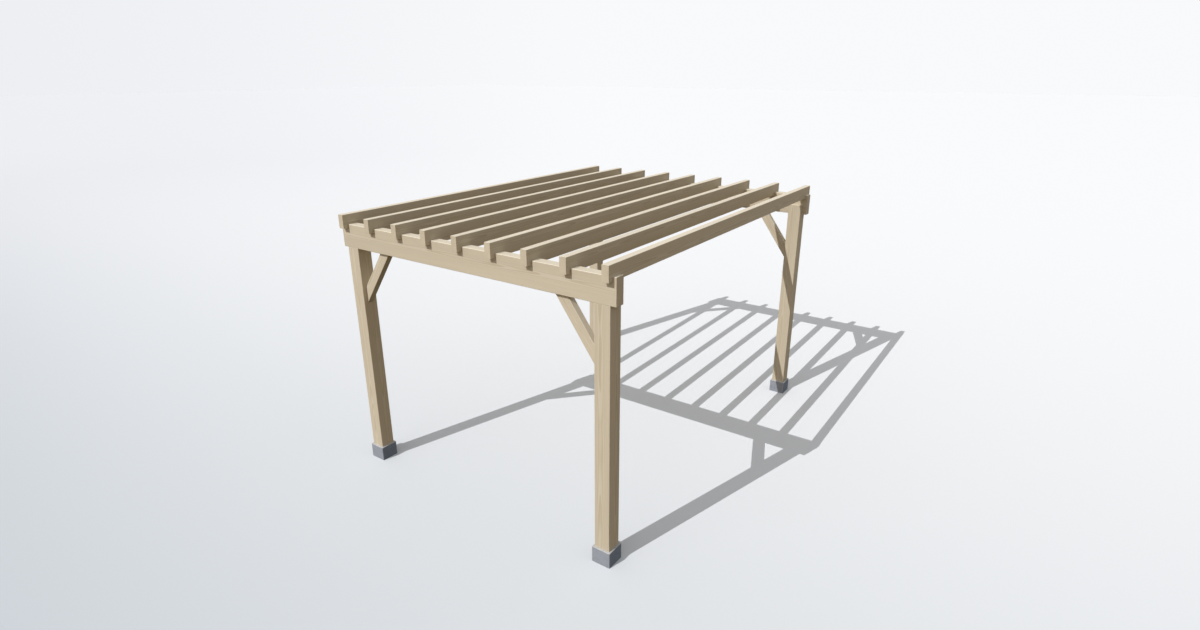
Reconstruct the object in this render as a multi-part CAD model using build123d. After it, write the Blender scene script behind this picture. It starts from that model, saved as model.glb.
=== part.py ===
from build123d import *
import math
import os

# A free-standing timber pergola, in millimetres.
# X runs along the two beams, Y along the rafters, Z up from the ground.
# The origin is on the ground, in the middle of the four posts.

# Posts
posts_across = 2900.0      # outside to outside of the posts, along a beam
posts_along = 3900.0       # outside to outside of the posts, along a rafter
post_size = 138.0          # side of the square section
post_tongue_height = 105.0 # the inner part of the head, which stands up behind the beam

# Concrete footings, one under each post
footing_size = 172.0
footing_height = 140.0
footing_arris = 5.0

# Beams, let into the outer faces of the posts
beam_underside = 2195.0    # height of the lower face above the ground
beam_thickness = 88.0
beam_depth = 215.0
beam_overhang = 50.0       # past the outside of the posts

# Rafters, let into the top edges of the beams
rafter_count = 9
rafter_thickness = 60.0
rafter_depth = 126.0
rafter_overhang = 50.0     # past the outer faces of the beams
beam_stub = 30.0           # length of beam outside each outer rafter
notch_depth = 36.0
notch_play = 0.5           # clearance each side of a rafter in its notch

# Braces, cut plumb against the post and level under the beam
brace_thickness = 60.0
brace_width = 93.0
brace_drop = 528.0         # lowest corner, below the beam's lower face
brace_reach = 386.0        # furthest corner, from the inner face of the post

# Small bevel along the planed edges of the timber
timber_arris = 3.0

# Places that follow from the sizes above
post_x = (posts_across - post_size) / 2
post_y = (posts_along - post_size) / 2
beam_y = (posts_along - beam_thickness) / 2
beam_length = posts_across + 2 * beam_overhang
rafter_length = posts_along + 2 * rafter_overhang
rafter_underside = beam_underside + beam_depth - notch_depth
outer_rafter_x = beam_length / 2 - beam_stub - rafter_thickness / 2
rafter_pitch = 2 * outer_rafter_x / (rafter_count - 1)
rafter_places = [number * rafter_pitch - outer_rafter_x for number in range(rafter_count)]

standing = (Align.CENTER, Align.CENTER, Align.MIN)


def planed_bar(length, thickness, depth, grain):
    """A square-cut bar standing on Z = 0, with the edges along its grain bevelled."""
    sizes = {
        Axis.X: (length, thickness, depth),
        Axis.Y: (thickness, length, depth),
        Axis.Z: (thickness, depth, length),
    }
    blank = Box(*sizes[grain], align=standing)
    return chamfer(blank.edges().filter_by(grain), timber_arris)


def footing(side, end):
    """Cast block, bevelled on its upright and top edges. It stands flat on the ground."""
    block = Box(footing_size, footing_size, footing_height, align=standing)
    upright = block.edges().filter_by(Axis.Z)
    rim = block.faces().sort_by(Axis.Z)[-1].edges()
    return Pos(side * post_x, end * post_y, 0) * chamfer(upright + rim, footing_arris)


def post(side, end):
    """Square post. Its head is halved: the beam sits on the shoulder, in front of the tongue."""
    shoulder = beam_underside - footing_height
    shaft = planed_bar(shoulder + post_tongue_height, post_size, post_size, Axis.Z)
    tongue_face = post_size / 2 - beam_thickness
    waste = Box(2 * post_size, 2 * post_size, 2 * post_tongue_height, align=standing)
    shaft -= Pos(0, end * (tongue_face + post_size), shoulder) * waste
    return Pos(side * post_x, end * post_y, footing_height) * shaft


def beam(end):
    """Beam on edge, with a notch in its top for each rafter."""
    timber = planed_bar(beam_length, beam_thickness, beam_depth, Axis.X)
    notch = Box(rafter_thickness + 2 * notch_play, 2 * beam_thickness, 2 * notch_depth, align=standing)
    for place in rafter_places:
        timber -= Pos(place, 0, beam_depth - notch_depth) * notch
    return Pos(0, end * beam_y, beam_underside) * timber


def rafter(place):
    """Rafter on edge, seated on the floors of its two notches."""
    return Pos(place, 0, rafter_underside) * planed_bar(rafter_length, rafter_thickness, rafter_depth, Axis.Y)


def brace(side, end):
    """Strut in the plane of the beam, from the inner face of the post to the beam's lower face."""
    slope = math.atan2(brace_drop, brace_reach)
    plumb_cut = brace_width / math.cos(slope)
    level_cut = brace_width / math.sin(slope)
    inward = -side
    outline = [
        (0, -brace_drop),
        (0, plumb_cut - brace_drop),
        (inward * (brace_reach - level_cut), 0),
        (inward * brace_reach, 0),
    ]
    strut = extrude(Plane.XZ * Polygon(*outline, align=None), amount=brace_thickness / 2, both=True)
    grain = Axis((0, 0, 0), (inward * brace_reach, 0, brace_drop))
    strut = chamfer(strut.edges().filter_by(grain), timber_arris)
    return Pos(side * (post_x - post_size / 2), end * post_y, beam_underside) * strut


def pergola():
    """Every piece in its place, under its own name."""
    pieces = {}
    sides = {"left": -1, "right": 1}
    ends = {"front": -1, "back": 1}
    for end_name, end in ends.items():
        for side_name, side in sides.items():
            corner = f"{end_name}_{side_name}"
            pieces[f"footing_{corner}"] = footing(side, end)
            pieces[f"post_{corner}"] = post(side, end)
            pieces[f"brace_{corner}"] = brace(side, end)
        pieces[f"beam_{end_name}"] = beam(end)
    for number, place in enumerate(rafter_places, start=1):
        pieces[f"rafter_{number}"] = rafter(place)
    return pieces


os.makedirs("parts", exist_ok=True)
for name, solid in pergola().items():
    export_step(solid, f"parts/{name}.step")
print(f"beam {beam_length:.0f} mm, rafters {rafter_length:.0f} mm at {rafter_pitch:.0f} mm centres")
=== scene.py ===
# %% [markdown]
# # A timber pergola, dressed in Blender
# The object is an open garden frame: four square posts on concrete footings, two notched beams,
# nine rafters let into them, and a brace at each post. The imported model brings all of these
# pieces at their real size, in metres, with X along the beams, Y along the rafters and the
# ground at Z = 0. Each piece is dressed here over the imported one: its edges are eased, and it
# gets the grain of sawn timber or the skin of cast concrete. No piece is moved or resized.

# %% Load the frame
import math
import random

import bmesh
import bpy
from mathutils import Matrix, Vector


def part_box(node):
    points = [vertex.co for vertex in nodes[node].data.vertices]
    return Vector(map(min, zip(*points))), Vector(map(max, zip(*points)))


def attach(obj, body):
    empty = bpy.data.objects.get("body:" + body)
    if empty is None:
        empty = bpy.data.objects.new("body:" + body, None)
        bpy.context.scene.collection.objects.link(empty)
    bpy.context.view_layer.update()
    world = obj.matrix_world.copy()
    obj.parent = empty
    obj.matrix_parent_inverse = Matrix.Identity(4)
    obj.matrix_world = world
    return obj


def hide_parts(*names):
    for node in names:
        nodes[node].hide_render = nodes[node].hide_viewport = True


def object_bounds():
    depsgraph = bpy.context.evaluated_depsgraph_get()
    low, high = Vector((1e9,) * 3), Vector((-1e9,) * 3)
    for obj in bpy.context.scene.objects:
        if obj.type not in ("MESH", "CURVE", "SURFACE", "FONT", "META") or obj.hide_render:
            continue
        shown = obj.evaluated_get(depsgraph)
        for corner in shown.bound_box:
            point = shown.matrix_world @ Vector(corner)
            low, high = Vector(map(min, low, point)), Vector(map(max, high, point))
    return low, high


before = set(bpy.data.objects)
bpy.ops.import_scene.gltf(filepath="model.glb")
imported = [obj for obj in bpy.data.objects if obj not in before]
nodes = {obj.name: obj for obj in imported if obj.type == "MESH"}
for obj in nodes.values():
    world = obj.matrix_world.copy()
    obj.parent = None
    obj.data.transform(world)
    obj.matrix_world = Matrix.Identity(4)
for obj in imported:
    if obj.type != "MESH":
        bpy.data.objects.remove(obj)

cad_low, cad_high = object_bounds()
print("pieces in the frame:", len(nodes))
print("overall size:", [round(side, 3) for side in cad_high - cad_low])

# %% [markdown]
# ## The camera
# The object is seen from its front right corner and from a little above the rafters. A camera on
# a sphere around the middle of the object needs only three numbers: two angles and a distance.
# The lens follows from how much of the world fits in the height of the picture. The camera is
# aimed with a quaternion, because a tracking constraint would have to be evaluated first.

# %% Place the camera
AZIMUTH = math.radians(34.97)
ELEVATION = math.radians(19.98)
DISTANCE = 7.233
VIEW_HEIGHT = math.radians(50)
PICTURE_WIDTH = 1200
PICTURE_HEIGHT = 630
SENSOR_WIDTH = 36

middle = (cad_low + cad_high) / 2
level = math.cos(ELEVATION)
outward = Vector((math.sin(AZIMUTH) * level, -math.cos(AZIMUTH) * level, math.sin(ELEVATION)))
lens = bpy.data.cameras.new("camera")
lens.sensor_width = SENSOR_WIDTH
lens.lens = SENSOR_WIDTH * PICTURE_HEIGHT / PICTURE_WIDTH / 2 / math.tan(VIEW_HEIGHT / 2)
camera = bpy.data.objects.new("camera", lens)
camera.location = middle + DISTANCE * outward
camera.rotation_euler = (-outward).to_track_quat("-Z", "Y").to_euler()
bpy.context.scene.collection.objects.link(camera)
bpy.context.scene.camera = camera
bpy.context.scene.view_settings.view_transform = "Standard"
print("camera at", [round(value, 3) for value in camera.location], "lens", round(lens.lens, 2), "mm")

# %% [markdown]
# ## Wiring nodes from a script
# Shader trees and geometry trees are wired in the same way, so the same few helpers serve both.
# A value handed to a helper is either a plain number, colour or vector, or the output of another
# node. That makes a chain of nodes read like a formula, which is easier to follow than a list of
# nodes and a list of links.

# %% Helpers that add one node each
def add_node(tree, kind, values=(), **settings):
    """Adds a node and fills its inputs, in order or by name. None leaves an input as it is."""
    made = tree.nodes.new(kind)
    for name, setting in settings.items():
        setattr(made, name, setting)
    pairs = values.items() if isinstance(values, dict) else enumerate(values)
    for key, value in pairs:
        if isinstance(value, bpy.types.NodeSocket):
            tree.links.new(value, made.inputs[key])
        elif value is not None:
            made.inputs[key].default_value = value
    return made


def number(tree, operation, *values):
    """The result of a Math node."""
    return add_node(tree, "ShaderNodeMath", values, operation=operation).outputs[0]


def vector(tree, operation, *values):
    """The result of a Vector Math node, which is a number for a length or a dot product."""
    made = add_node(tree, "ShaderNodeVectorMath", values, operation=operation)
    return made.outputs["Value" if operation in ("LENGTH", "DOT_PRODUCT") else "Vector"]


def scaled(tree, value, factor):
    """A vector or a colour times a number."""
    return vector(tree, "SCALE", value, None, None, factor)


def combined(tree, *values):
    """A vector from up to three numbers."""
    return add_node(tree, "ShaderNodeCombineXYZ", values).outputs[0]


def separated(tree, value):
    """The three numbers of a vector, by the names X, Y and Z."""
    return add_node(tree, "ShaderNodeSeparateXYZ", [value]).outputs


# %% Helpers for patterns and colours
MIX_FIRST, MIX_SECOND, MIX_RESULT = 6, 7, 2  # the colour sockets of a Mix node


def fade(tree, value, start, end, low=0.0, high=1.0):
    """Runs smoothly from low, where the value is start, to high, where it is end."""
    inputs = {"Value": value, "From Min": start, "From Max": end, "To Min": low, "To Max": high}
    return add_node(tree, "ShaderNodeMapRange", inputs, interpolation_type="SMOOTHSTEP").outputs["Result"]


def noise(tree, place, per_metre, detail=2.0, output="Fac"):
    """Noise with this many features per metre along each axis. Its mean is 0.5.
    Detail is the number of finer layers that are added to it."""
    inputs = {"Vector": vector(tree, "MULTIPLY", place, per_metre), "Scale": 1.0, "Detail": detail}
    return add_node(tree, "ShaderNodeTexNoise", inputs).outputs[output]


def varied(tree, pattern, span):
    """A factor around 1 that follows a pattern of 0 to 1 and changes by the span."""
    return number(tree, "MULTIPLY_ADD", pattern, span, 1 - span / 2)


def product(tree, first, *others):
    """Several numbers multiplied together."""
    for other in others:
        first = number(tree, "MULTIPLY", first, other)
    return first


def mix(tree, amount, first, second, blend="MIX"):
    """Mixes two colours."""
    inputs = {0: amount, MIX_FIRST: first, MIX_SECOND: second}
    made = add_node(tree, "ShaderNodeMix", inputs, data_type="RGBA", blend_type=blend)
    return made.outputs[MIX_RESULT]


def new_material(name):
    """A material, its tree, and the shader in it that the other nodes will feed."""
    material = bpy.data.materials.new(name)
    material.use_nodes = True
    return material, material.node_tree, material.node_tree.nodes["Principled BSDF"]


# %% [markdown]
# ## Which way a surface faces
# Some light and shade is painted into the colours by the way a face turns. The tops are painted
# paler as painted light, the undersides darker as painted shade, and the concrete paler on the side
# towards the sun and darker and bluer away from it. The colours could be painted on face by face,
# but then each slanted brace would need its own choice. Here the shader compares the normal of the
# surface with a direction instead. It reads the normal in object space, which no camera changes.

# %% A weight for the way a surface faces
X_AXIS, Y_AXIS, UP = Vector((1, 0, 0)), Vector((0, 1, 0)), Vector((0, 0, 1))
SUN_TRAVEL = Vector((0.302, 1.145, -1.0))
SUNNY_SIDE = -Vector((SUN_TRAVEL.x, SUN_TRAVEL.y, 0)).normalized()
SUNNY_COSINES = (0.35, 0.80)   # the weight rises from 0 to 1 between these two
TOP_COSINES = (0.15, 0.55)
UNDER_COSINES = (0.20, 0.60)


def facing(tree, direction, cosines):
    """0 on a surface turned away from a direction and 1 on a surface turned to it."""
    normal = add_node(tree, "ShaderNodeTexCoord").outputs["Normal"]
    return fade(tree, vector(tree, "DOT_PRODUCT", normal, direction), *cosines)


print("the sun stands towards", [round(value, 2) for value in SUNNY_SIDE])

# %% [markdown]
# ## Timber: the rings of the tree
# Sawn wood gets its figure from the year rings of the log. A pattern that is painted on each face
# never meets at the edges. Here the rings are solid: every piece carries, as attributes, its own
# place in the log it was sawn from, and the shader works out the distance from the heart of that
# log. Faces that touch the rings at a slant then show broad arches, faces that cut them square
# show fine lines, and the ends show arcs, all from the same formula.

# %% The tone of the rings
RING_WIDTH = 0.0052           # one year of growth
SUMMER_STARTS = (0.25, 0.85)  # the part of a year in which the wood grows darker
WINTER_STOPS = (1.0, 0.92)    # and the much shorter part in which it turns pale again
HEART_BENDS = (0.9, 0, 0)     # per metre along the log and across it
HEART_STRAY = 0.016           # how far the heart bends away from a straight line
WAVES = (2.2, 16, 16)         # per metre along the log and across it
WAVE_HEIGHT = 0.007           # how far a ring strays from a circle
SEASONS_PER_METRE = 45.0      # good and bad years, counted from the heart outwards
SEASON_SPREAD = 0.008         # how much the width of the rings varies with them


def ring_tone(tree, log):
    """0 in the pale spring wood of a ring and 1 in its darker summer wood."""
    stray = noise(tree, log, HEART_BENDS, detail=1.0, output="Color")
    spread = Vector((0, 2 * HEART_STRAY, 2 * HEART_STRAY))
    bent = vector(tree, "ADD", log, vector(tree, "MULTIPLY_ADD", stray, spread, -spread / 2))
    radius = vector(tree, "LENGTH", vector(tree, "MULTIPLY", bent, Y_AXIS + UP))
    radius = number(tree, "MULTIPLY_ADD", noise(tree, log, WAVES), WAVE_HEIGHT, radius)
    years = {"W": radius, "Scale": SEASONS_PER_METRE, "Detail": 1.0}
    seasons = add_node(tree, "ShaderNodeTexNoise", years, noise_dimensions="1D").outputs["Fac"]
    radius = number(tree, "MULTIPLY_ADD", seasons, SEASON_SPREAD, radius)
    share = number(tree, "FRACT", number(tree, "DIVIDE", radius, RING_WIDTH))
    return product(tree, fade(tree, share, *SUMMER_STARTS), fade(tree, share, *WINTER_STOPS))


# %% [markdown]
# ## Timber: colour, wear and feel
# The wood is a pale planed softwood. Its spring wood is palest, and its summer wood darker and
# browner. On top of the rings come slow bands of colour along the length, finer fibres, and a
# small difference from piece to piece, because no two come from the same log. Painted light on the
# tops and painted shade on the undersides are tints laid over that. The ridges of summer wood stand
# slightly proud, as they do on weathered boards, so the bump follows the same rings as the colour does.

# %% Colours and tones of the timber
SPRING_WOOD = (0.583, 0.515, 0.400, 1)
SUMMER_WOOD = (0.496, 0.424, 0.307, 1)
SIDE_TINT = (1.0, 1.0, 1.0, 1)         # upright faces keep the colour of the wood
UNDER_PAINTED_SHADE = (0.64, 0.66, 0.64, 1)     # painted shade: undersides are painted darker
TOP_PAINTED_LIGHT = (1.39, 1.42, 1.48, 1)       # painted light: tops are painted paler
END_TINT = (0.98, 0.975, 0.97, 1)      # cut ends soak up a little dirt
WORN_WOOD = (0.86, 0.80, 0.70, 1)
WEAR = 0.35                            # how far a long edge turns to worn wood
WEAR_WIDTH = 0.005
BANDS, BAND_SPAN = (0.5, 11, 11), 0.16
FIBRES, FIBRE_SPAN = (3, 160, 160), 0.12
PIECE_SPAN = 0.07                      # between the palest and the darkest piece


def attribute(tree, name, output="Vector"):
    """Reads an attribute that the geometry trees store on each piece."""
    return add_node(tree, "ShaderNodeAttribute", attribute_name=name).outputs[output]


def timber_tone(tree, log, fibres):
    """A factor around 1: slow bands along the log, fine fibres and a difference between pieces."""
    log_number = number(tree, "ROUND", separated(tree, attribute(tree, "heart"))["X"])
    own = add_node(tree, "ShaderNodeTexWhiteNoise", {"W": log_number}, noise_dimensions="1D")
    bands = varied(tree, noise(tree, log, BANDS), BAND_SPAN)
    own = varied(tree, own.outputs["Value"], PIECE_SPAN)
    return product(tree, bands, varied(tree, fibres, FIBRE_SPAN), own)


def painted_light_and_end_dirt(tree):
    """Painted shade on the undersides and painted light on the tops, and the dirt of a cut end."""
    # painted shade darkens the undersides, then painted light brightens the tops
    tint = mix(tree, facing(tree, -UP, UNDER_COSINES), SIDE_TINT, UNDER_PAINTED_SHADE)
    tint = mix(tree, facing(tree, UP, TOP_COSINES), tint, TOP_PAINTED_LIGHT)
    cut = mix(tree, 1.0, tint, END_TINT, "MULTIPLY")
    return mix(tree, attribute(tree, "end_grain", "Fac"), tint, cut)


def edge_wear(tree, grain):
    """1 along the long edges of a piece, fading to 0 on its faces."""
    to_face = vector(tree, "SUBTRACT", attribute(tree, "half_size"), vector(tree, "ABSOLUTE", grain))
    distance = separated(tree, to_face)
    return fade(tree, number(tree, "MAXIMUM", distance["Y"], distance["Z"]), WEAR_WIDTH, 0.0)


# %% The timber material
PORES = (40, 1400, 1400)
TIMBER_ROUGHNESS = 0.62
FIBRE_ROUGHNESS = 0.16        # fibres are rougher
RING_ROUGHNESS = -0.08        # the hard summer wood is smoother
TIMBER_SPECULAR = 0.3
FIBRE_HEIGHT = 0.8            # beside the ridges of summer wood, which count as 1
PORE_HEIGHT = 0.35
TIMBER_BUMP = {"Strength": 0.35, "Distance": 0.0009}


def timber_material():
    """Planed softwood, weathered to a pale tan, with painted light on its tops and painted shade beneath.
    """
    material, tree, shader = new_material("timber")
    grain = attribute(tree, "grain")
    log = vector(tree, "SUBTRACT", grain, attribute(tree, "heart"))
    rings = ring_tone(tree, log)
    fibres = noise(tree, log, FIBRES, detail=4.0)

    colour = scaled(tree, mix(tree, rings, SPRING_WOOD, SUMMER_WOOD), timber_tone(tree, log, fibres))
    # painted light on the tops, painted shade on the undersides, and a little dirt on cut ends
    colour = mix(tree, 1.0, colour, painted_light_and_end_dirt(tree), "MULTIPLY")
    worn = product(tree, edge_wear(tree, grain), fibres, WEAR)
    tree.links.new(mix(tree, worn, colour, WORN_WOOD), shader.inputs["Base Color"])

    rough = number(tree, "MULTIPLY_ADD", fibres, FIBRE_ROUGHNESS, TIMBER_ROUGHNESS)
    rough = number(tree, "MULTIPLY_ADD", rings, RING_ROUGHNESS, rough)
    tree.links.new(rough, shader.inputs["Roughness"])
    shader.inputs["Specular IOR Level"].default_value = TIMBER_SPECULAR

    height = number(tree, "MULTIPLY_ADD", fibres, FIBRE_HEIGHT, rings)
    height = number(tree, "MULTIPLY_ADD", noise(tree, log, PORES, detail=1.0), PORE_HEIGHT, height)
    bump = add_node(tree, "ShaderNodeBump", TIMBER_BUMP | {"Height": height})
    tree.links.new(bump.outputs["Normal"], shader.inputs["Normal"])
    return material


timber = timber_material()
print("timber nodes:", len(timber.node_tree.nodes))

# %% [markdown]
# ## Concrete
# The footings are cast in a smooth mould, so their faces are flat, cool grey and cloudy, with
# small air holes. The top is painted paler as painted light, the side towards the sun paler too,
# and the sides away from it darker and bluer as painted shade. The clouds are noise at two scales.
# The air holes are cut in the mesh further down, and the shader only adds the fine grit between
# them, which is too small to model.

# %% The concrete material
# Painted light and shade: the side towards the sun, the darker and bluer sides away from it, and a paler
# top.
CONCRETE_PAINTED_SHADE = (0.204, 0.254, 0.345, 1)
CONCRETE_PAINTED_SUN = (0.290, 0.311, 0.360, 1)
CONCRETE_PAINTED_TOP = (0.50, 0.50, 0.50, 1)
CLOUDS, CLOUD_SPAN = (12, 12, 20), 0.36
PATCHES, PATCH_SPAN = (60, 60, 60), 0.40
GRIT, GRIT_SPAN = (900, 900, 900), 0.20
CONCRETE_ROUGHNESS = 0.74
PATCH_ROUGHNESS = 0.18        # the pale patches are rougher
CONCRETE_SPECULAR = 0.35
PATCH_HEIGHT = 0.8            # beside the grit, which counts as 1
CONCRETE_BUMP = {"Strength": 0.4, "Distance": 0.0008}


def concrete_material():
    """Cast concrete, cool grey, with clouds and grit, and painted light and shade by the way a face turns.
    """
    material, tree, shader = new_material("concrete")
    place = add_node(tree, "ShaderNodeTexCoord").outputs["Object"]
    clouds = noise(tree, place, CLOUDS, detail=3.0)
    patches = noise(tree, place, PATCHES, detail=5.0)
    grit = noise(tree, place, GRIT, detail=1.0)

    # painted light and shade by the way each face turns
    colour = mix(tree, facing(tree, SUNNY_SIDE, SUNNY_COSINES), CONCRETE_PAINTED_SHADE, CONCRETE_PAINTED_SUN)
    colour = mix(tree, facing(tree, UP, TOP_COSINES), colour, CONCRETE_PAINTED_TOP)
    spans = ((clouds, CLOUD_SPAN), (patches, PATCH_SPAN), (grit, GRIT_SPAN))
    tone = product(tree, *[varied(tree, pattern, span) for pattern, span in spans])
    tree.links.new(scaled(tree, colour, tone), shader.inputs["Base Color"])

    rough = number(tree, "MULTIPLY_ADD", patches, PATCH_ROUGHNESS, CONCRETE_ROUGHNESS)
    tree.links.new(rough, shader.inputs["Roughness"])
    shader.inputs["Specular IOR Level"].default_value = CONCRETE_SPECULAR
    height = number(tree, "MULTIPLY_ADD", patches, PATCH_HEIGHT, grit)
    bump = add_node(tree, "ShaderNodeBump", CONCRETE_BUMP | {"Height": height})
    tree.links.new(bump.outputs["Normal"], shader.inputs["Normal"])
    return material


concrete = concrete_material()
print("concrete nodes:", len(concrete.node_tree.nodes))

# %% [markdown]
# ## Running a geometry tree
# Geometry Nodes are built here like the shaders, with named inputs. A modifier on a carrier
# object runs the tree. Its inputs are set by the socket's identifier before anything is
# evaluated. The result is copied into a plain mesh and the carrier is deleted, so that no
# modifier and no instance is left for the exported model to lose.

# %% Helpers for geometry trees
def new_tree(name, inputs):
    """A geometry tree with these inputs besides its geometry, given as a name and a kind each."""
    tree = bpy.data.node_groups.new(name, "GeometryNodeTree")
    for title, kind in ({"Geometry": "Geometry"} | inputs).items():
        tree.interface.new_socket(name=title, in_out="INPUT", socket_type="NodeSocket" + kind)
    tree.interface.new_socket(name="Geometry", in_out="OUTPUT", socket_type="NodeSocketGeometry")
    return tree, add_node(tree, "NodeGroupInput").outputs


def store(tree, geometry, name, value, kind="FLOAT_VECTOR", domain="POINT"):
    """Writes a value on the geometry under a name that the shader can read."""
    inputs = {"Geometry": geometry, "Name": name, "Value": value}
    made = add_node(tree, "GeometryNodeStoreNamedAttribute", inputs, data_type=kind, domain=domain)
    return made.outputs["Geometry"]


def close_tree(tree, geometry, finish):
    """Ends a tree: instances become real mesh, and the mesh gets its material."""
    real = add_node(tree, "GeometryNodeRealizeInstances", {"Geometry": geometry}).outputs["Geometry"]
    covered = add_node(tree, "GeometryNodeSetMaterial", {"Geometry": real, "Material": finish})
    add_node(tree, "NodeGroupOutput", {"Geometry": covered.outputs["Geometry"]})
    print(tree.name, "nodes:", len(tree.nodes))


def run_tree(tree, mesh, values):
    """Runs a tree on a mesh and returns what it makes as a plain mesh."""
    carrier = bpy.data.objects.new(tree.name, mesh)
    bpy.context.scene.collection.objects.link(carrier)
    modifier = carrier.modifiers.new(tree.name, "NODES")
    modifier.node_group = tree
    inputs = [item for item in tree.interface.items_tree if item.in_out == "INPUT"]
    identifiers = {item.name: item.identifier for item in inputs}
    for title, value in values.items():
        modifier[identifiers[title]] = value
    graph = bpy.context.evaluated_depsgraph_get()
    evaluated = carrier.evaluated_get(graph)
    made = bpy.data.meshes.new_from_object(evaluated, preserve_all_data_layers=True, depsgraph=graph)
    bpy.data.objects.remove(carrier)
    bpy.data.meshes.remove(mesh)
    return made


# %% [markdown]
# ## Marking the grain
# This small tree writes on a piece what the timber shader reads: the place of every point along
# the grain, across it and square to both, measured from the middle of the piece, the half size of
# the piece, and a mark on the faces that cut the grain. It is used twice: for the pieces that are
# copied from the frame, and inside the tree that makes the rafters.

# %% The tree that marks the grain
END_GRAIN_COSINE = 0.4        # a face counts as an end if its normal leans this far along the grain

mark_inputs = {"Along": "Vector", "Across": "Vector", "Centre": "Vector", "Half Size": "Vector"}
mark_grain, given = new_tree("mark_grain", mark_inputs)
place = add_node(mark_grain, "GeometryNodeInputPosition").outputs[0]
offset = vector(mark_grain, "SUBTRACT", place, given["Centre"])
square = vector(mark_grain, "CROSS_PRODUCT", given["Across"], given["Along"])
axes = (given["Along"], given["Across"], square)
grain_place = combined(mark_grain, *[vector(mark_grain, "DOT_PRODUCT", offset, axis) for axis in axes])
normal = add_node(mark_grain, "GeometryNodeInputNormal").outputs[0]
lean = number(mark_grain, "ABSOLUTE", vector(mark_grain, "DOT_PRODUCT", normal, given["Along"]))
is_end = number(mark_grain, "GREATER_THAN", lean, END_GRAIN_COSINE)
marked = store(mark_grain, given["Geometry"], "grain", grain_place)
marked = store(mark_grain, marked, "half_size", given["Half Size"])
marked = store(mark_grain, marked, "end_grain", is_end, "FLOAT", "FACE")
add_node(mark_grain, "NodeGroupOutput", {"Geometry": marked})
print("mark_grain nodes:", len(mark_grain.nodes))

# %% [markdown]
# ## Fitting a piece
# Sawn edges are never knife sharp. A bevel that works by angle eases every cut of a piece, also
# round a notch, and catches the light as sanded edges do. Weighted normals keep the wide faces
# flat beside it. Each finished piece rides on the only body of the frame and hides the node it
# stands for. The pieces stay at the origin, with their place in the mesh.

# %% Put a mesh in the place of its node
SANDED_EDGE = 0.0012
EDGE_STEPS = 2
SHARP_FROM = math.radians(30)
FACE_WEIGHT = 100             # the largest faces decide the normals, and 50 would be neutral


def fit_piece(mesh, name, node, edge=SANDED_EDGE):
    """Puts a finished mesh in the place of its node, with its sharp edges eased."""
    piece = bpy.data.objects.new(name, mesh)
    bpy.context.scene.collection.objects.link(piece)
    for face in mesh.polygons:
        face.use_smooth = True
    if edge:
        easing = piece.modifiers.new("sanded edges", "BEVEL")
        easing.width = edge
        easing.segments = EDGE_STEPS
        easing.limit_method = "ANGLE"
        easing.angle_limit = SHARP_FROM
        weights = piece.modifiers.new("flat faces", "WEIGHTED_NORMAL")
        weights.weight = FACE_WEIGHT
    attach(piece, "root")
    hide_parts(node)
    return piece


# %% [markdown]
# ## Posts, beams and braces
# These pieces are copied from the frame, because their halved heads, notches and slanted cuts are
# already exact there. Modelling the joints again would only risk a misfit. The frame's meshes are
# loose triangles, so a copy is merged first and its flat regions are joined into whole faces.
# Only then can the bevel run cleanly round every cut.

# %% Copy a piece and mark its grain
MERGE_DISTANCE = 0.00001
FLAT_WITHIN = math.radians(0.5)

sawn_piece, given = new_tree("sawn_piece", mark_inputs | {"Heart": "Vector", "Finish": "Material"})
marks = {title: given[title] for title in ["Geometry", *mark_inputs]}
marked = add_node(sawn_piece, "GeometryNodeGroup", marks, node_tree=mark_grain).outputs["Geometry"]
close_tree(sawn_piece, store(sawn_piece, marked, "heart", given["Heart"]), given["Finish"])


def clean_copy(node):
    """The node's mesh with its corners merged and each flat region as one face."""
    shape = bmesh.new()
    shape.from_mesh(nodes[node].data)
    bmesh.ops.remove_doubles(shape, verts=shape.verts, dist=MERGE_DISTANCE)
    bmesh.ops.dissolve_limit(shape, angle_limit=FLAT_WITHIN, verts=shape.verts, edges=shape.edges)
    mesh = bpy.data.meshes.new(node)
    shape.to_mesh(mesh)
    shape.free()
    return mesh


def measure(mesh, axes):
    """The middle and the half size of a mesh, measured along three square axes."""
    centre = Vector()
    half = []
    for axis in axes:
        reach = [axis.dot(corner.co) for corner in mesh.vertices]
        centre += axis * (min(reach) + max(reach)) / 2
        half.append((max(reach) - min(reach)) / 2)
    return centre, half


def saw(node, along, across, heart):
    """Dresses one piece of the frame as timber, sawn beside or around the heart of its log."""
    mesh = clean_copy(node)
    centre, half = measure(mesh, (along, across, across.cross(along)))
    marks = {"Along": along, "Across": across, "Centre": centre, "Half Size": half}
    sawn = run_tree(sawn_piece, mesh, marks | {"Heart": heart, "Finish": timber})
    return fit_piece(sawn, "sawn_" + node, node)


# %% [markdown]
# A post is thick enough to hold the heart of its log, so its heart lies somewhere inside the
# section. Beams and braces are cut beside the heart. The first number of each heart line is a
# long step along the log: it only makes sure that no two pieces share the same stretch of noise.

# %% Saw the posts, beams and braces
LOG_STEP = 23.0
HEARTS = {                    # metres from the middle of the section, across and square to the grain
    "post": ((0.005, 0.030), (0.005, 0.030)),
    "beam": ((0.055, 0.085), (0.000, 0.050)),
    "brace": ((0.035, 0.060), (0.000, 0.030)),
}
chance = random.Random(7)


def grain_axes(name):
    """The directions along and across the grain of a post, a beam or a brace."""
    if name.startswith("post"):
        return UP, X_AXIS
    if name.startswith("beam"):
        return X_AXIS, Y_AXIS
    low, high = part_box(name)
    inward = -math.copysign(1, low.x)
    return Vector((inward * (high.x - low.x), 0, high.z - low.z)).normalized(), Y_AXIS


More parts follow.
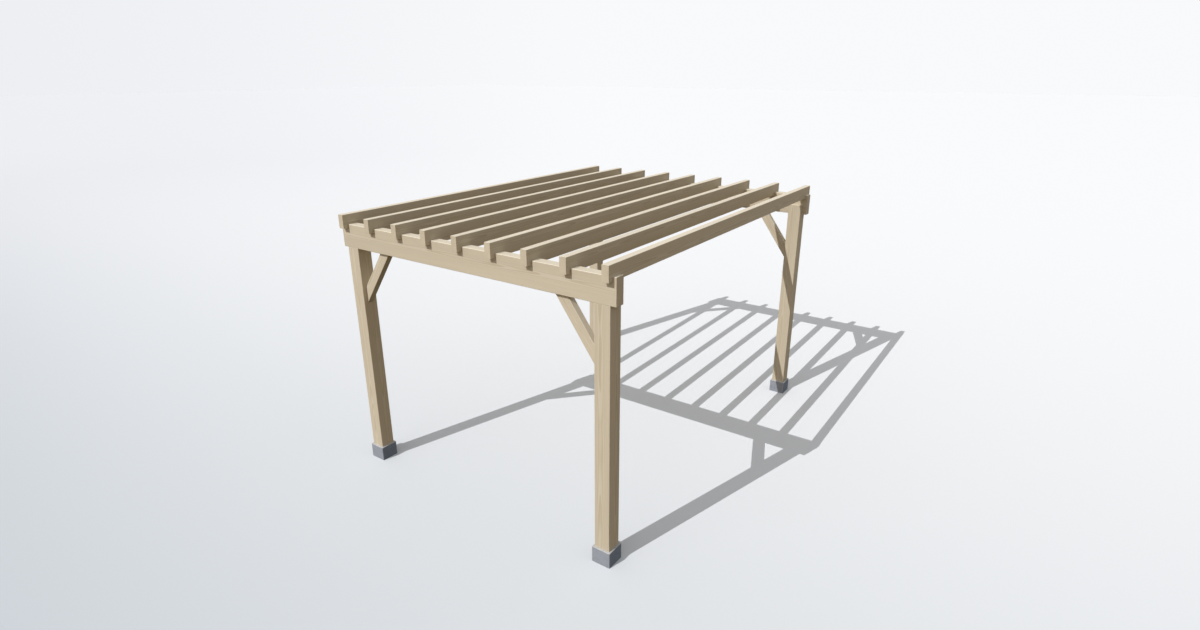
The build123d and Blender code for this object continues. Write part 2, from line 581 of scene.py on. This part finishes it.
cut_by_hand = sorted(name for name in nodes if name.split("_")[0] in HEARTS)
for log_number, name in enumerate(cut_by_hand, start=1):
    heart = [log_number * LOG_STEP]
    for reach in HEARTS[name.split("_")[0]]:
        heart.append(chance.choice((-1, 1)) * chance.uniform(*reach))
    saw(name, *grain_axes(name), heart)
print("sawn pieces:", len(cut_by_hand))

# %% [markdown]
# ## Rafters
# The nine rafters are alike and stand at even spacing, so one rule makes them all. A rectangle
# with rounded corners is swept along the length, marked with its grain, and set on a row of
# points. Each copy draws its own heart line from a fixed seed, so the figure differs from rafter
# to rafter. Every size but the rounding is read from the frame. The row is then cut back into
# nine pieces, one for each node, because on the real object each rafter is a stick of its own.

# %% One stick
CORNER_STEPS = 4


def one_stick(tree, given):
    """A bar along Y, centred on the origin, with rounded long edges and its grain marked."""
    section_size = {"Width": given["Thickness"], "Height": given["Depth"]}
    section = add_node(tree, "GeometryNodeCurvePrimitiveQuadrilateral", section_size).outputs[0]
    rounding = {"Curve": section, "Radius": given["Arris"], "Count": CORNER_STEPS}
    section = add_node(tree, "GeometryNodeFilletCurve", rounding, mode="POLY").outputs[0]
    back_end = vector(tree, "MULTIPLY", combined(tree, None, given["Length"]), Y_AXIS / 2)
    ends = {"Start": scaled(tree, back_end, -1.0), "End": back_end}
    line = add_node(tree, "GeometryNodeCurvePrimitiveLine", ends).outputs[0]
    line = add_node(tree, "GeometryNodeSetCurveNormal", {"Curve": line}, mode="Z_UP").outputs[0]
    sweep = {"Curve": line, "Profile Curve": section, "Fill Caps": True}
    stick = add_node(tree, "GeometryNodeCurveToMesh", sweep).outputs[0]
    half_size = scaled(tree, combined(tree, given["Length"], given["Thickness"], given["Depth"]), 0.5)
    marks = {"Geometry": stick, "Along": Y_AXIS, "Across": X_AXIS, "Half Size": half_size}
    return add_node(tree, "GeometryNodeGroup", marks, node_tree=mark_grain).outputs["Geometry"]


# %% A row of sticks
def in_a_row(tree, given, stick):
    """Copies of the stick at even steps along X, each with a heart line of its own."""
    place_number = add_node(tree, "GeometryNodeInputIndex").outputs[0]
    steps = number(tree, "SUBTRACT", given["Count"], 1.0)
    steps = number(tree, "MULTIPLY_ADD", steps, -0.5, place_number)
    places = combined(tree, number(tree, "MULTIPLY", steps, given["Pitch"]))
    places = vector(tree, "ADD", places, given["Middle"])
    points = {"Count": given["Count"], "Position": places}
    copies = {"Points": add_node(tree, "GeometryNodePoints", points).outputs[0], "Instance": stick}
    row = add_node(tree, "GeometryNodeInstanceOnPoints", copies).outputs[0]
    drawn = {"Min": given["Heart Low"], "Max": given["Heart High"], "Seed": given["Seed"]}
    drawn["ID"] = place_number
    heart = add_node(tree, "FunctionNodeRandomValue", drawn, data_type="FLOAT_VECTOR").outputs[0]
    row = store(tree, row, "heart", heart, domain="INSTANCE")
    return store(tree, row, "place_number", place_number, "INT", "INSTANCE")


rafter_row, given = new_tree("rafter_row", {
    "Count": "Int", "Pitch": "Float", "Middle": "Vector",
    "Length": "Float", "Thickness": "Float", "Depth": "Float", "Arris": "Float",
    "Heart Low": "Vector", "Heart High": "Vector", "Seed": "Int", "Finish": "Material",
})
close_tree(rafter_row, in_a_row(rafter_row, given, one_stick(rafter_row, given)), given["Finish"])


# %% Helpers that check a mesh and cut it up
def signed_volume(mesh):
    """The volume that the faces enclose, which is negative if they point inwards."""
    shape = bmesh.new()
    shape.from_mesh(mesh)
    volume = shape.calc_volume(signed=True)
    shape.free()
    return volume


def split_off(mesh, number_kept, name):
    """A copy of the mesh that keeps the points with this place number."""
    shape = bmesh.new()
    shape.from_mesh(mesh)
    key = shape.verts.layers.int["place_number"]
    others = [corner for corner in shape.verts if corner[key] != number_kept]
    bmesh.ops.delete(shape, geom=others, context="VERTS")
    part = mesh.copy()
    part.name = name
    shape.to_mesh(part)
    shape.free()
    return part


# %% Make the rafters
RAFTER_ARRIS = 0.003
RAFTER_HEARTS = ((300.0, 0.045, -0.035), (700.0, 0.095, 0.035))   # beside the stick, in far logs
RAFTER_SEED = 4

rafters = sorted(name for name in nodes if name.startswith("rafter"))
boxes = [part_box(name) for name in rafters]
low, high = boxes[0]
size = high - low
row_mesh = run_tree(rafter_row, bpy.data.meshes.new("empty"), {
    "Count": len(rafters), "Pitch": boxes[1][0].x - low.x, "Middle": (low + boxes[-1][1]) / 2,
    "Length": size.y, "Thickness": size.x, "Depth": size.z, "Arris": RAFTER_ARRIS,
    "Heart Low": RAFTER_HEARTS[0], "Heart High": RAFTER_HEARTS[1], "Seed": RAFTER_SEED, "Finish": timber,
})
if signed_volume(row_mesh) < 0:
    row_mesh.flip_normals()
for place_kept, name in enumerate(rafters):
    fit_piece(split_off(row_mesh, place_kept, name), "sawn_" + name, name)
print("rafters:", len(rafters), "volume", round(signed_volume(row_mesh), 4), "m3")

# %% [markdown]
# ## Footings
# A cast block is a box with rounded edges, a very slight unevenness and a few air holes. The tree
# starts from a box of small even cells. Each point near an edge is pulled in to a sphere of the
# edge's radius, which rounds edges and corners alike. Four copies stand at the corners of a
# rectangle. Then the points sink by noise and by the air holes. They only sink, so that no block
# grows past its real size, and they stay put on the ground and under the post.

# %% A block with rounded edges
def rounded_block(tree, given):
    """A box of small even cells that stands on the ground. Its lowest edges stay sharp."""
    size = combined(tree, given["Side"], given["Side"], given["Height"])
    box = {"Size": size}
    for axis, side in (("X", "Side"), ("Y", "Side"), ("Z", "Height")):
        box["Vertices " + axis] = number(tree, "ROUND", number(tree, "DIVIDE", given[side], given["Cell"]))
    box = add_node(tree, "GeometryNodeMeshCube", box).outputs["Mesh"]

    point = add_node(tree, "GeometryNodeInputPosition").outputs[0]
    edge = combined(tree, given["Edge"], given["Edge"], given["Edge"])
    core_high = vector(tree, "SUBTRACT", scaled(tree, size, 0.5), edge)
    core_low = vector(tree, "SUBTRACT", scaled(tree, core_high, -1.0), vector(tree, "MULTIPLY", edge, UP))
    core = vector(tree, "MAXIMUM", vector(tree, "MINIMUM", point, core_high), core_low)
    outside = vector(tree, "SUBTRACT", point, core)
    reach = separated(tree, vector(tree, "ABSOLUTE", outside))
    reach = number(tree, "MAXIMUM", number(tree, "MAXIMUM", reach["X"], reach["Y"]), reach["Z"])
    rounded = vector(tree, "ADD", core, scaled(tree, vector(tree, "NORMALIZE", outside), reach))
    rounded = vector(tree, "ADD", rounded, scaled(tree, vector(tree, "MULTIPLY", size, UP), 0.5))
    return add_node(tree, "GeometryNodeSetPosition", {"Geometry": box, "Position": rounded}).outputs[0]


# %% Four blocks at the corners of a rectangle
def at_corners(tree, given, block):
    """A copy of the block at each corner. The points keep their place on the block as cast."""
    block = store(tree, block, "cast", add_node(tree, "GeometryNodeInputPosition").outputs[0])
    rectangle = {"Size X": given["Across"], "Size Y": given["Along"], "Vertices X": 2, "Vertices Y": 2}
    corners = add_node(tree, "GeometryNodeMeshGrid", rectangle).outputs["Mesh"]
    copies = {"Points": corners, "Instance": block}
    blocks = add_node(tree, "GeometryNodeInstanceOnPoints", copies).outputs[0]
    corner_number = add_node(tree, "GeometryNodeInputIndex").outputs[0]
    blocks = store(tree, blocks, "place_number", corner_number, "INT", "INSTANCE")
    return add_node(tree, "GeometryNodeRealizeInstances", {"Geometry": blocks}).outputs["Geometry"]


# %% Unevenness and air holes
SEAT_MARGIN = 0.005           # the relief grows to full over this distance from the post
GROUND_MARGIN = 0.008         # and over this height from the ground
RELIEF_PER_METRE = (26, 26, 26)
WHOLE_CELLS = 0.60            # the share of the pattern's cells that have no air hole
HOLE_RADII = (0.02, 0.30)     # in cells
HOLE_FLOOR = 0.35             # the flat share of a hole's radius


def sunk(tree, given, blocks):
    """The blocks with their faces sunk a little by noise, and more at the air holes."""
    cast = add_node(tree, "GeometryNodeInputNamedAttribute", {"Name": "cast"}, data_type="FLOAT_VECTOR")
    cast = separated(tree, vector(tree, "ABSOLUTE", cast.outputs[0]))
    seat = number(tree, "MULTIPLY", given["Seat"], 0.5)
    from_seat = number(tree, "SUBTRACT", number(tree, "MAXIMUM", cast["X"], cast["Y"]), seat)
    free = fade(tree, from_seat, 0.0, SEAT_MARGIN)
    free = product(tree, free, fade(tree, cast["Z"], 0.0, GROUND_MARGIN))

    point = add_node(tree, "GeometryNodeInputPosition").outputs[0]
    point = vector(tree, "ADD", point, combined(tree, given["Seed"], given["Seed"], given["Seed"]))
    cells = add_node(tree, "ShaderNodeTexVoronoi", {"Vector": point, "Scale": given["Holes per Metre"]})
    drawn = separated(tree, cells.outputs["Color"])["X"]
    radius = fade(tree, drawn, WHOLE_CELLS, 1.0, *HOLE_RADII)
    hole = fade(tree, cells.outputs["Distance"], radius, number(tree, "MULTIPLY", radius, HOLE_FLOOR))
    depth = number(tree, "MULTIPLY", noise(tree, point, RELIEF_PER_METRE, detail=3.0), given["Relief"])
    depth = number(tree, "MULTIPLY_ADD", hole, given["Hole Depth"], depth)
    normal = add_node(tree, "GeometryNodeInputNormal").outputs[0]
    inwards = scaled(tree, normal, product(tree, depth, free, -1.0))
    return add_node(tree, "GeometryNodeSetPosition", {"Geometry": blocks, "Offset": inwards}).outputs[0]


cast_blocks, given = new_tree("cast_blocks", {
    "Side": "Float", "Height": "Float", "Edge": "Float", "Cell": "Float",
    "Across": "Float", "Along": "Float", "Seat": "Float", "Relief": "Float",
    "Hole Depth": "Float", "Holes per Metre": "Float", "Seed": "Float", "Finish": "Material",
})
blocks = at_corners(cast_blocks, given, rounded_block(cast_blocks, given))
close_tree(cast_blocks, sunk(cast_blocks, given, blocks), given["Finish"])

# %% Cast the four footings
FOOTING_EDGE = 0.005
CELL = 0.002
RELIEF = 0.0009
HOLE_DEPTH = 0.0028
HOLES_PER_METRE = 70.0
FOOTING_SEED = 0.0

footings = sorted(name for name in nodes if name.startswith("footing"))
low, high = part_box("footing_back_right")
post_low, post_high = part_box("post_back_right")
centre = (low + high) / 2
blocks_mesh = run_tree(cast_blocks, bpy.data.meshes.new("empty"), {
    "Side": high.x - low.x, "Height": high.z, "Edge": FOOTING_EDGE, "Cell": CELL,
    "Across": 2 * centre.x, "Along": 2 * centre.y, "Seat": post_high.x - post_low.x, "Relief": RELIEF,
    "Hole Depth": HOLE_DEPTH, "Holes per Metre": HOLES_PER_METRE, "Seed": FOOTING_SEED,
    "Finish": concrete,
})
first_points = {}
key = blocks_mesh.attributes["place_number"].data
for corner in blocks_mesh.vertices:
    first_points.setdefault(key[corner.index].value, corner.co.copy())
for place_kept, spot in first_points.items():
    name = min(footings, key=lambda title: (sum(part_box(title), Vector()) / 2 - spot).length)
    fit_piece(split_off(blocks_mesh, place_kept, name), "cast_" + name, name, edge=0)
print("footings:", len(first_points), "triangles each", len(blocks_mesh.polygons) * 2 // len(first_points))

# %% [markdown]
# ## Floor and background
# The object stands on a plain pale floor that runs on into the background with no visible
# horizon. It is greyer in front, and the grey halves every few metres towards the back. Further in
# front it thins out more slowly, so that no side shows a seam, and some way off it is gone
# altogether. Far off on the left, floor and background both turn a shade greyer, as in a room with
# its windows on the other side. A real white floor would throw much cold light up on the shaded
# sides, which in a garden are lit warmly from the soil below. So light that is not on its way to
# the camera or a shiny surface finds a brown floor. The Light Path node makes that difference.
# The shadow stays, because the floor is lit like everything else.

# %% The floor
FLOOR_REACH = 130.0
FLOOR_GREY = (0.590, 0.632, 0.672, 1)
FLOOR_PALE = (0.938, 0.945, 0.960, 1)
FLOOR_BOUNCE = (0.180, 0.108, 0.012, 1)
GREYEST_AT = -6.0             # metres along Y
PEAK_WIDTH = 1.6              # metres around there in which the grey hardly changes
HALVED_BEHIND = 2.8           # metres in which it halves further towards the back
HALVED_IN_FRONT = 9.0         # and further towards the front
GREY_ENDS = (8.0, 45.0)       # metres from the middle, where it starts to fade and where it is gone
SHADY_WAY = Vector((-0.940, -0.342, 0))
SHADY_COSINES = (0.20, 1.00)
SHADY_TINT = (0.888, 0.889, 0.910, 1)
SHADE_GROWS = (4.0, 30.0)     # metres from the middle


def seen_directly(tree):
    """1 for light on its way to the camera, straight or by way of something shiny or clear."""
    path = add_node(tree, "ShaderNodeLightPath").outputs
    mirrored = number(tree, "MAXIMUM", path["Is Camera Ray"], path["Is Glossy Ray"])
    return number(tree, "MAXIMUM", mirrored, path["Is Transmission Ray"])


def shady_side(tree, colour, direction, amount):
    """The colour, up to a shade greyer in one direction."""
    direction = vector(tree, "NORMALIZE", direction)
    weight = fade(tree, vector(tree, "DOT_PRODUCT", direction, SHADY_WAY), *SHADY_COSINES)
    return mix(tree, product(tree, weight, amount), colour, SHADY_TINT, "MULTIPLY")


def floor_material():
    """A pale matt floor, greyer in front."""
    material, tree, shader = new_material("pale_floor")
    place = add_node(tree, "ShaderNodeTexCoord").outputs["Object"]
    behind = number(tree, "SUBTRACT", separated(tree, place)["Y"], GREYEST_AT)
    away = number(tree, "SQRT", number(tree, "MULTIPLY_ADD", behind, behind, PEAK_WIDTH ** 2))
    away = number(tree, "SUBTRACT", away, PEAK_WIDTH)
    halved_in = fade(tree, behind, -PEAK_WIDTH, PEAK_WIDTH / 2, HALVED_IN_FRONT, HALVED_BEHIND)
    grey = number(tree, "POWER", 0.5, number(tree, "DIVIDE", away, halved_in))
    distance = vector(tree, "LENGTH", place)
    grey = product(tree, grey, fade(tree, distance, *GREY_ENDS, 1.0, 0.0))
    seen = mix(tree, grey, FLOOR_PALE, FLOOR_GREY)
    seen = shady_side(tree, seen, place, fade(tree, distance, *SHADE_GROWS))
    colour = mix(tree, seen_directly(tree), FLOOR_BOUNCE, seen)
    tree.links.new(colour, shader.inputs["Base Color"])
    shader.inputs["Roughness"].default_value = 1.0
    shader.inputs["Specular IOR Level"].default_value = 0.0
    return material


floor_mesh = bpy.data.meshes.new("floor")
corners = [Vector((-1, -1, 0)), Vector((1, -1, 0)), Vector((1, 1, 0)), Vector((-1, 1, 0))]
floor_mesh.from_pydata([corner * FLOOR_REACH for corner in corners], [], [(0, 1, 2, 3)])
floor_mesh.materials.append(floor_material())
floor = bpy.data.objects.new("floor", floor_mesh)
bpy.context.scene.collection.objects.link(floor)
print("floor", 2 * FLOOR_REACH, "m wide")

# %% [markdown]
# ## Light
# One sun with crisp edges draws the stripes of the rafters on the floor and leaves the right hand
# sides in shade. A wide, weak second lamp from the front opens those shadows slightly, and the
# white sky does the rest. The levels add up to about one on a surface that faces the front, so a
# colour there renders as it is written.

# %% Sky, sun and fill
SKY_LEVEL = 0.43
SUN_LEVEL = 0.83
SUN_SPREAD = 0.12             # degrees
FILL_LEVEL = 0.17
FILL_SPREAD = 60.0            # degrees
FILL_TRAVEL = Vector((0.1, 1.0, -0.3))
BACKGROUND = (0.945, 0.952, 0.967, 1)

world = bpy.data.worlds.new("sky")
bpy.context.scene.world = world
world.use_nodes = True
sky = world.node_tree
sky_light = (SKY_LEVEL, SKY_LEVEL, SKY_LEVEL, 1)
direction = add_node(sky, "ShaderNodeTexCoord").outputs["Object"]
backdrop = shady_side(sky, BACKGROUND, direction, 1.0)
backdrop = mix(sky, seen_directly(sky), sky_light, backdrop)
sky.links.new(backdrop, sky.nodes["Background"].inputs["Color"])


def add_sun(name, travel, strength, spread):
    """A sun lamp. Its strength is the brightness of a white surface that faces it."""
    lamp = bpy.data.lights.new(name, "SUN")
    lamp.energy = strength * math.pi
    lamp.angle = math.radians(spread)
    holder = bpy.data.objects.new(name, lamp)
    holder.rotation_euler = travel.to_track_quat("-Z", "Y").to_euler()
    bpy.context.scene.collection.objects.link(holder)


add_sun("sun", SUN_TRAVEL, SUN_LEVEL, SUN_SPREAD)
add_sun("fill", FILL_TRAVEL, FILL_LEVEL, FILL_SPREAD)
print("sunlight on a face to the front:", round(SUN_LEVEL * SUN_TRAVEL.normalized().y, 2))
